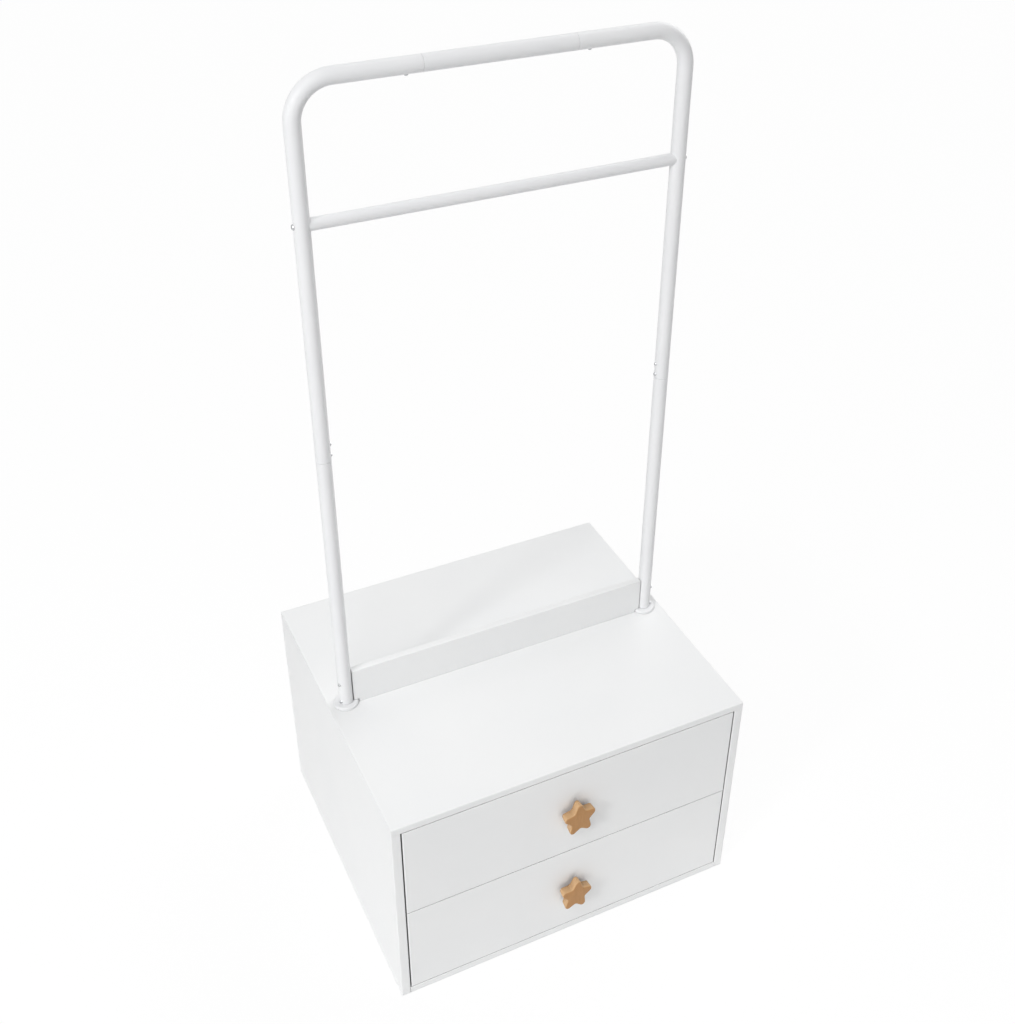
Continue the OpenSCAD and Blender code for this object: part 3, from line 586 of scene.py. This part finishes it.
WHITE = (1, 1, 1, 1)
AMBIENT = 0.17
FLOOR_COLOUR = (0.86, 0.86, 0.86)
FAR_COLOUR = (0.62, 0.62, 0.62)
FLOOR_HALF = 20.0
FLOOR_DROP = 0.0005
SHEET_R = 0.45
SHEET_FADE = 0.8
FLOOR_GLOW = 0.92
CAMERA_AT = (-0.68243, -1.46971, 1.90320)
CAMERA_TILT = (55.34703, -0.86212, -26.18949)
CAMERA_SENSOR = 36.0
CAMERA_LENS = 46.51188
CAMERA_SHIFT = (-0.030896, -0.048479)
CAMERA_NEAR = 0.05
SUN_AWAY = 4


def way(azimuth, height):
    """A direction by its angle from straight in front towards the left, and its height above the floor."""
    a, h = math.radians(azimuth), math.radians(height)
    return Vector((-math.sin(a) * math.cos(h), -math.cos(a) * math.cos(h), math.sin(h)))


# Suns: name, direction, width in degrees, brightness of a white surface that faces it
SUNS = [
    ("key", way(45, 55), 30.0, 0.23),
    ("core", way(65.5, 30), 9.0, 0.213),
    ("front", way(0, 30), 60.0, 0.085),
    ("back", way(180, 50), 60.0, 0.07),
    ("far_side", way(250, 30), 60.0, 0.53),
]

# Soft boxes: name, place, aim, side, watts
BOXES = [
    ("near_left", (-2.0, -0.8, 1.6), (0, 0, 0.4), 1.0, 8.1),
    ("low_front", (0.0, -1.6, 0.35), (0, 0, 0.2), 0.8, 1.4),
    ("near_top", (-1.2, -1.0, 2.2), (0, 0, 0.5), 0.8, 5.6),
    ("low_left", (-1.0, -0.34, 0.12), (-0.3, -0.2, 0.12), 0.3, 0.64),
]


def unseen_by_light(tree):
    """1 for camera, mirror and glass rays, 0 for the rays that light the object."""
    path = tree.nodes.new("ShaderNodeLightPath")
    first = tree.nodes.new("ShaderNodeMath")
    second = tree.nodes.new("ShaderNodeMath")
    first.operation = second.operation = "MAXIMUM"
    tree.links.new(path.outputs["Is Camera Ray"], first.inputs[0])
    tree.links.new(path.outputs["Is Glossy Ray"], first.inputs[1])
    tree.links.new(first.outputs[0], second.inputs[0])
    tree.links.new(path.outputs["Is Transmission Ray"], second.inputs[1])
    return second.outputs[0]


def stage():
    """A pale floor that darkens outwards for the light, and looks white but for the shadow."""
    m = Nodes("studio_floor")
    at = m.coords()
    paper = m.noise(at, 300.0, 3.0)
    away = m.add("VectorMath", {0: at}, operation="LENGTH").outputs["Value"]
    colour = m.mix(m.spread(away, 0.0, 1.0, SHEET_R, SHEET_R + SHEET_FADE), FLOOR_COLOUR, FAR_COLOUR)
    colour = m.mix(m.spread(paper, 0.0, 0.02), colour, (0.7, 0.7, 0.7))
    m.finish(Base_Color=colour, Roughness=0.9, Specular_IOR_Level=0.0)
    white = m.add("BsdfDiffuse", {"Color": WHITE}).outputs["BSDF"]
    glow = m.add("Emission", {"Color": WHITE, "Strength": 1.0}).outputs["Emission"]
    seen = m.add("MixShader", {"Fac": FLOOR_GLOW})
    m.put(white, seen.inputs[1])
    m.put(glow, seen.inputs[2])
    both = m.add("MixShader", {"Fac": unseen_by_light(m.tree)})
    m.put(m.bsdf.outputs["BSDF"], both.inputs[1])
    m.put(seen.outputs["Shader"], both.inputs[2])
    m.put(both.outputs["Shader"], m.tree.nodes["Material Output"].inputs["Surface"])
    bm = bmesh.new()
    bmesh.ops.create_grid(bm, x_segments=8, y_segments=8, size=FLOOR_HALF)
    mesh = bpy.data.meshes.new("studio_floor")
    bm.to_mesh(mesh)
    bm.free()
    obj = bpy.data.objects.new("studio_floor", mesh)
    obj.location = (0, 0, -FLOOR_DROP)
    scene.collection.objects.link(obj)
    mesh.materials.append(m.mat)
    obj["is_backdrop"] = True


def photo_camera():
    """The camera of the photograph, in degrees and metres, with its lens and sensor in millimetres."""
    lens = bpy.data.cameras.new("camera")
    lens.sensor_width = CAMERA_SENSOR
    lens.lens = CAMERA_LENS
    lens.shift_x, lens.shift_y = CAMERA_SHIFT
    lens.clip_start = CAMERA_NEAR
    camera = bpy.data.objects.new("camera", lens)
    camera.location = CAMERA_AT
    camera.rotation_euler = [math.radians(v) for v in CAMERA_TILT]
    scene.collection.objects.link(camera)
    scene.camera = camera


def studio_world():
    """Soft light from all round, and white surroundings for the camera, metal and glass."""
    world = bpy.data.worlds.new("studio")
    world.use_nodes = True
    scene.world = world
    tree = world.node_tree
    light = tree.nodes["Background"]
    light.inputs["Color"].default_value = WHITE
    light.inputs["Strength"].default_value = AMBIENT
    seen = tree.nodes.new("ShaderNodeBackground")
    seen.inputs["Color"].default_value = WHITE
    both = tree.nodes.new("ShaderNodeMixShader")
    tree.links.new(unseen_by_light(tree), both.inputs[0])
    tree.links.new(light.outputs[0], both.inputs[1])
    tree.links.new(seen.outputs[0], both.inputs[2])
    tree.links.new(both.outputs[0], tree.nodes["World Output"].inputs["Surface"])


def lamp(name, kind, at, aim, energy, **values):
    data = bpy.data.lights.new(name, kind)
    data.energy = energy
    for key, value in values.items():
        setattr(data, key, value)
    obj = bpy.data.objects.new(name, data)
    obj.location = at
    obj.rotation_euler = (Vector(aim) - Vector(at)).to_track_quat("-Z", "Y").to_euler()
    obj.visible_camera = False
    scene.collection.objects.link(obj)


stage()
photo_camera()
studio_world()
for name, direction, spread, level in SUNS:
    lamp(name, "SUN", direction * SUN_AWAY, (0, 0, 0), level * math.pi, angle=math.radians(spread))
for name, at, aim, size, watts in BOXES:
    lamp(name, "AREA", at, aim, watts, shape="SQUARE", size=size)

scene.view_settings.view_transform = "Standard"
size = {"cad": [list(v) for v in cad_box], "visual": [list(v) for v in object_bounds()]}
